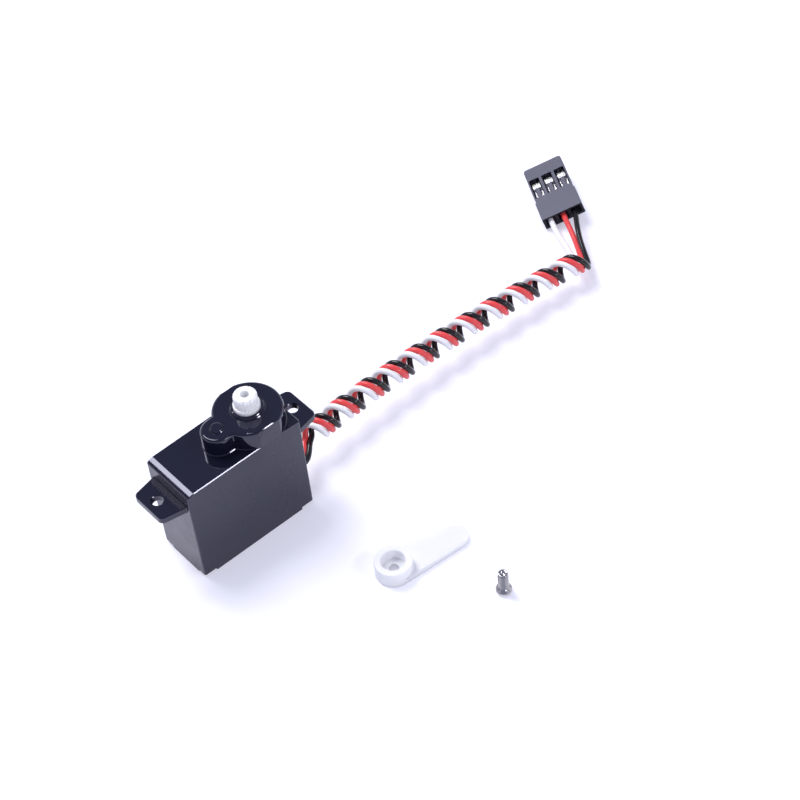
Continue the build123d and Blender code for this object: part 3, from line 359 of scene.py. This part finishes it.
def metal_skin_group():
    """Skin of a worked metal: fine scratches both ways and cloudy tarnish."""
    group, given, out = empty_skin_group(
        "metal skin", ("Colour", "Tarnish", "Gloss Low", "Gloss High", "Scratch Scale")
    )
    nodes, links = group.nodes, group.links
    place, stretch = nodes.new("ShaderNodeTexCoord"), nodes.new("ShaderNodeMapping")
    stretch.inputs["Scale"].default_value = (1, 1, 0.15)
    links.new(place.outputs["Object"], stretch.inputs["Vector"])
    tarnish, scratch = nodes.new("ShaderNodeTexNoise"), nodes.new("ShaderNodeTexNoise")
    tarnish.inputs["Scale"].default_value = 700
    tarnish.inputs["Detail"].default_value = 4
    links.new(place.outputs["Object"], tarnish.inputs["Vector"])
    links.new(stretch.outputs["Vector"], scratch.inputs["Vector"])
    links.new(given.outputs["Scratch Scale"], scratch.inputs["Scale"])
    darker, amount = nodes.new("ShaderNodeMix"), nodes.new("ShaderNodeMath")
    darker.data_type = "RGBA"
    darker.blend_type = "MULTIPLY"
    amount.operation = "MULTIPLY"
    links.new(tarnish.outputs["Fac"], amount.inputs[0])
    links.new(given.outputs["Tarnish"], amount.inputs[1])
    links.new(amount.outputs[0], darker.inputs["Factor"])
    links.new(given.outputs["Colour"], darker.inputs["A"])
    darker.inputs["B"].default_value = (0.35, 0.33, 0.3, 1)
    links.new(darker.outputs["Result"], out.inputs["Colour"])
    gloss = nodes.new("ShaderNodeMapRange")
    links.new(scratch.outputs["Fac"], gloss.inputs["Value"])
    gloss.inputs["From Min"].default_value = 0.3
    gloss.inputs["From Max"].default_value = 0.7
    links.new(given.outputs["Gloss Low"], gloss.inputs["To Min"])
    links.new(given.outputs["Gloss High"], gloss.inputs["To Max"])
    links.new(gloss.outputs["Result"], out.inputs["Roughness"])
    links.new(scratch.outputs["Fac"], out.inputs["Height"])
    return group


metal_skin = metal_skin_group()


def metal_material(name, colour, tarnish, gloss, scratch_scale, scratch_depth):
    """Material with the metal skin."""
    material, tree, shader = new_material(name, metal=1.0)
    wear_skin(tree, shader, metal_skin, {
        "Colour": (*colour, 1),
        "Tarnish": tarnish,
        "Gloss Low": gloss[0],
        "Gloss High": gloss[1],
        "Scratch Scale": scratch_scale,
    }, scratch_depth)
    return material


def paint(node, material):
    """Gives a solid its finish."""
    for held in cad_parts[node].material_slots:
        held.material = material


tinned = metal_material("tin plate", (0.92, 0.92, 0.93), 0.10, (0.22, 0.34), 3000, 0.0000002)
for wire, (colour_name, length, plug_pieces) in enumerate((
    ("black", 0.1595, []), ("red", 0.158, [plug]), ("white", 0.157, []),
)):
    crimp = f"plug_crimp_{colour_name}"
    paint(crimp, tinned)

# ------------------------------------------------------------------ Case
# Three mouldings in black plastic: bottom cover, middle case and top housing with the mounting
# tabs. The tool was polished for the top faces and the tower, which are glossy, and the other
# sides came out satin. Only the edges at the parting lines are left sharp.
CASE_TOP_Z = 0.0206
SEAM_LEVELS = (0.0018, 0.01565)
POLISH_BLEND = 0.0002          # satin turns to gloss over this height, just below the case's top
POLISHED_ROUGHNESS = 0.07
LOWER_EDGE = 0.00010
TOP_EDGE = 0.00012
case_black, tree, shader = new_material("black case plastic", specular=0.7, tint=(0.8, 0.8, 1.0, 1))
skin = dress_moulded(
    tree, shader, (0.0055, 0.0060, 0.016), 0.004, 160, (0.22, 0.30), 2400, 0.000002
)
place, facing = tree.nodes.new("ShaderNodeTexCoord"), tree.nodes.new("ShaderNodeSeparateXYZ")
height, over = tree.nodes.new("ShaderNodeSeparateXYZ"), tree.nodes.new("ShaderNodeMapRange")
tree.links.new(place.outputs["Normal"], facing.inputs[0])
tree.links.new(place.outputs["Object"], height.inputs[0])
tree.links.new(height.outputs["Z"], over.inputs["Value"])
over.inputs["From Min"].default_value = CASE_TOP_Z - POLISH_BLEND
over.inputs["From Max"].default_value = CASE_TOP_Z
up, polished = tree.nodes.new("ShaderNodeMapRange"), tree.nodes.new("ShaderNodeMath")
tree.links.new(facing.outputs["Z"], up.inputs["Value"])
up.inputs["From Min"].default_value = 0.3
up.inputs["From Max"].default_value = 0.8
polished.operation = "MAXIMUM"
tree.links.new(over.outputs["Result"], polished.inputs[0])
tree.links.new(up.outputs["Result"], polished.inputs[1])
gloss = tree.nodes.new("ShaderNodeMix")
tree.links.new(polished.outputs[0], gloss.inputs["Factor"])
tree.links.new(skin.outputs["Roughness"], gloss.inputs["A"])
gloss.inputs["B"].default_value = POLISHED_ROUGHNESS
tree.links.new(gloss.outputs["Result"], shader.inputs["Roughness"])
for node, width in (
    ("bottom_cover", LOWER_EDGE), ("middle_case", LOWER_EDGE), ("top_housing", TOP_EDGE),
):
    softened_copy(
        f"{node}_skin", node, width, case_black, "case", 1, SEAM_LEVELS
    )

# ------------------------------------------------------------------ Case screws and idler pin
# Plated steel. Four long screws come up from the cover into the top housing, and the pin carries
# the first and third gears.
screw_steel = metal_material(
    "zinc plated steel", (0.62, 0.62, 0.64), 0.3, (0.25, 0.42), 2600, 0.000003
)
for number in range(1, 5):
    paint(f"case_screw_{number}", screw_steel)
paint("idler_pin", screw_steel)
paint("pot_shaft", screw_steel)

# ------------------------------------------------------------------ Motor
# Drawn steel can with two arc magnets, a slotted rotor on its shaft, a plastic brush cap and a
# brass pinion pressed on the shaft's end.
for node, look in (
    ("motor_can", ("drawn steel", (0.55, 0.55, 0.57), 0.35, (0.28, 0.45), 1800, 0.000004)),
    ("motor_rotor", ("rotor lamination", (0.42, 0.36, 0.32), 0.5, (0.4, 0.6), 3500, 0.000006)),
    ("motor_magnets", ("ferrite", (0.10, 0.10, 0.11), 0.4, (0.55, 0.75), 1500, 0.000006)),
    ("motor_pinion", ("turned brass", (0.80, 0.58, 0.25), 0.3, (0.2, 0.35), 2600, 0.000003)),
):
    paint(node, metal_material(*look))
paint("motor_terminals", tinned)
cap_white, tree, shader = new_material("brush cap plastic", subsurface=0.05)
dress_moulded(tree, shader, (0.70, 0.69, 0.64), 0.05, 240, (0.4, 0.55), 3000, 0.000006)
paint("motor_cap", cap_white)

# ------------------------------------------------------------------ Potentiometer and board
# The feedback potentiometer is pinned to a green glass-fibre board that also carries the control
# chip and a capacitor.
pot_grey, tree, shader = new_material("potentiometer grey")
dress_moulded(tree, shader, (0.10, 0.10, 0.115), 0.04, 300, (0.4, 0.55), 3600, 0.000006)
paint("pot_body", pot_grey)
paint("pot_pins", tinned)
board_green, tree, shader = new_material("solder mask green", coat=0.3, coat_roughness=0.25)
dress_moulded(tree, shader, (0.015, 0.10, 0.045), 0.06, 500, (0.35, 0.5), 4200, 0.000008)
paint("circuit_board", board_green)
chip_black, tree, shader = new_material("moulding compound")
dress_moulded(tree, shader, (0.02, 0.02, 0.022), 0.03, 900, (0.6, 0.75), 9000, 0.00001)
paint("control_chip", chip_black)
ceramic_tan, tree, shader = new_material("ceramic tan")
dress_moulded(tree, shader, (0.42, 0.30, 0.16), 0.08, 800, (0.35, 0.5), 5000, 0.000005)
paint("capacitor", ceramic_tan)

# ------------------------------------------------------------------ Gears
# Three compound gears in off-white acetal, each a wide wheel with a small pinion over it.
acetal, tree, shader = new_material("gear acetal", subsurface=0.15, subsurface_scale=0.0008)
dress_moulded(tree, shader, (0.76, 0.75, 0.68), 0.05, 300, (0.35, 0.5), 3600, 0.000005)
for number in (1, 2, 3):
    paint(f"gear_{number}", acetal)

# ------------------------------------------------------------------ Output shaft
# White nylon moulding: the last wheel, its journals and the splined end that takes the horn.
SHAFT_EDGE = 0.00005
nylon, tree, shader = new_material(
    "white nylon", subsurface=0.4, subsurface_scale=0.001, subsurface_radius=(0.9, 0.9, 1.0)
)
dress_moulded(tree, shader, (0.97, 0.97, 0.98), 0.01, 260, (0.25, 0.36), 3000, 0.000002)
softened_copy("output_shaft_skin", "output_shaft", SHAFT_EDGE, nylon, "output", 1)

# ------------------------------------------------------------------ Lead gland
# Black rubber block that fills the slot in the end wall and grips the three wires.
gland_rubber, tree, shader = new_material("gland rubber")
dress_moulded(tree, shader, (0.018, 0.018, 0.019), 0.04, 500, (0.6, 0.75), 6000, 0.00001)
paint("lead_gland", gland_rubber)

# ------------------------------------------------------------------ Horn
# One-arm horn moulded in translucent white nylon. It lies on the flat side of its arm, with the
# hub's socket for the splined shaft upwards and the hole for the screw below it.
HORN_EDGE = 0.00015
horn_nylon, tree, shader = new_material(
    "horn nylon", subsurface=0.6, subsurface_scale=0.002, subsurface_radius=(0.85, 0.85, 1.0)
)
dress_moulded(tree, shader, (0.92, 0.92, 0.96), 0.01, 200, (0.30, 0.42), 2600, 0.000002)
softened_copy("horn_skin", "horn", HORN_EDGE, horn_nylon, "case")

# ------------------------------------------------------------------ Horn screw
# Small plated steel screw that stands on its head beside the horn, with a fine thread rolled on
# its shank.
SCREW_X, SCREW_Y = 0.0161, -0.0417
SHANK_RADIUS = 0.00078
THREAD_START_Z = 0.00125
THREAD_PITCH = 0.0005
THREAD_TURNS = 6
THREAD_DEPTH = 0.00012
THREAD_ROOT = 0.00004          # sunk below the shank's surface
THREAD_FLANK = 0.4             # share of the pitch, up and down from the crest
THREAD_STEPS = 24


def threaded_screw(material):
    """Copy of the screw's solid with a triangular ridge wound round its shank."""
    shape = bmesh.new()
    shape.from_mesh(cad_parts["horn_screw"].data)
    bmesh.ops.remove_doubles(shape, verts=shape.verts, dist=WELD)
    corners = [
        shape.verts.new(
            (SCREW_X + SHANK_RADIUS + out, SCREW_Y, THREAD_START_Z + rise * THREAD_PITCH)
        )
        for out, rise in (
            (-THREAD_ROOT, -THREAD_FLANK), (THREAD_DEPTH, 0), (-THREAD_ROOT, THREAD_FLANK),
        )
    ]
    section = [shape.edges.new((corners[i], corners[i - 1])) for i in range(3)]
    bmesh.ops.spin(
        shape, geom=corners + section, cent=(SCREW_X, SCREW_Y, 0), axis=(0, 0, 1),
        dvec=(0, 0, THREAD_PITCH / THREAD_STEPS), angle=2 * math.pi * THREAD_TURNS,
        steps=THREAD_STEPS * THREAD_TURNS, use_duplicate=False,
    )
    bmesh.ops.holes_fill(shape, edges=[edge for edge in shape.edges if edge.is_boundary], sides=3)
    bmesh.ops.recalc_face_normals(shape, faces=shape.faces)
    for face in shape.faces:
        face.smooth = True
    mesh = bpy.data.meshes.new("horn_screw_threaded")
    shape.to_mesh(mesh)
    shape.free()
    mesh.set_sharp_from_angle(angle=math.radians(30))
    mesh.materials.append(material)
    piece = bpy.data.objects.new("horn_screw_threaded", mesh)
    bpy.context.scene.collection.objects.link(piece)
    return piece


horn_screw = threaded_screw(
    metal_material("bright plated steel", (0.58, 0.56, 0.57), 0.15, (0.10, 0.18), 2600, 0.0000005)
)
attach(horn_screw, "case")
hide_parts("horn_screw")

# ------------------------------------------------------------------ Table and light
# Seamless white table under a broad softbox high behind the servo and a slim one in front of it,
# with light from all round.
TABLE_REACH = 1.2       # from the middle to each side
TABLE_DROP = 0.00002    # keeps the table clear of what lies on it
TABLE_GLOW = 0.37
LAMP_TARGET = Vector((0.02, 0, 0.01))
table_mesh = bpy.data.meshes.new("table_top")
sheet = bmesh.new()
bmesh.ops.create_grid(sheet, x_segments=1, y_segments=1, size=TABLE_REACH)
bmesh.ops.translate(sheet, verts=sheet.verts, vec=(0, 0, -TABLE_DROP))
sheet.to_mesh(table_mesh)
sheet.free()
table = bpy.data.objects.new("table_top", table_mesh)
bpy.context.scene.collection.objects.link(table)
table_white, tree, shader = new_material("table white", specular=0.0)
shader.inputs["Base Color"].default_value = (0.80, 0.80, 0.88, 1)
shader.inputs["Roughness"].default_value = 0.9
rays, lift = tree.nodes.new("ShaderNodeLightPath"), tree.nodes.new("ShaderNodeMath")
lift.operation = "MAXIMUM"
tree.links.new(rays.outputs["Is Camera Ray"], lift.inputs[0])
tree.links.new(rays.outputs["Is Glossy Ray"], lift.inputs[1])
level = tree.nodes.new("ShaderNodeMath")
level.operation = "MULTIPLY"
level.inputs[1].default_value = TABLE_GLOW
tree.links.new(lift.outputs[0], level.inputs[0])
shader.inputs["Emission Color"].default_value = (0.91, 0.91, 1.0, 1)
tree.links.new(level.outputs[0], shader.inputs["Emission Strength"])
table_mesh.materials.append(table_white)


def soft_lamp(name, place, width, depth, power):
    """Rectangular softbox that faces the servo."""
    data = bpy.data.lights.new(name, "AREA")
    data.shape = "RECTANGLE"
    data.size, data.size_y = width, depth
    data.energy = power
    lamp = bpy.data.objects.new(name, data)
    facing = (Vector(place) - LAMP_TARGET).to_track_quat("Z", "Y").to_matrix().to_4x4()
    lamp.matrix_world = Matrix.Translation(place) @ facing
    bpy.context.scene.collection.objects.link(lamp)


soft_lamp("back softbox", (-0.05, 0.50, 0.86), 0.36, 0.62, 7.6)
soft_lamp("front softbox", (0.2007, -0.486, 0.389), 0.30, 0.03, 0.9)
world = bpy.data.worlds.new("surround")
bpy.context.scene.world = world
world.use_nodes = True
tree = world.node_tree
way, rise = tree.nodes.new("ShaderNodeTexCoord"), tree.nodes.new("ShaderNodeSeparateXYZ")
fade = tree.nodes.new("ShaderNodeMapRange")
fade.inputs["From Min"].default_value = 0.15
fade.inputs["From Max"].default_value = 0.55
tree.links.new(way.outputs["Generated"], rise.inputs[0])
tree.links.new(rise.outputs["Z"], fade.inputs["Value"])
shade = tree.nodes.new("ShaderNodeMix")
shade.data_type = "RGBA"
shade.inputs["A"].default_value = (0.90, 0.91, 1.0, 1)
shade.inputs["B"].default_value = (0.28, 0.30, 0.42, 1)
tree.links.new(fade.outputs["Result"], shade.inputs["Factor"])
surround, backdrop = tree.nodes["Background"], tree.nodes.new("ShaderNodeBackground")
tree.links.new(shade.outputs["Result"], surround.inputs["Color"])
backdrop.inputs["Color"].default_value = (1, 1, 1, 1)
rays, choose = tree.nodes.new("ShaderNodeLightPath"), tree.nodes.new("ShaderNodeMixShader")
tree.links.new(rays.outputs["Is Camera Ray"], choose.inputs["Fac"])
tree.links.new(surround.outputs[0], choose.inputs[1])
tree.links.new(backdrop.outputs[0], choose.inputs[2])
tree.links.new(choose.outputs[0], tree.nodes["World Output"].inputs["Surface"])
bpy.context.scene.view_settings.view_transform = "Standard"
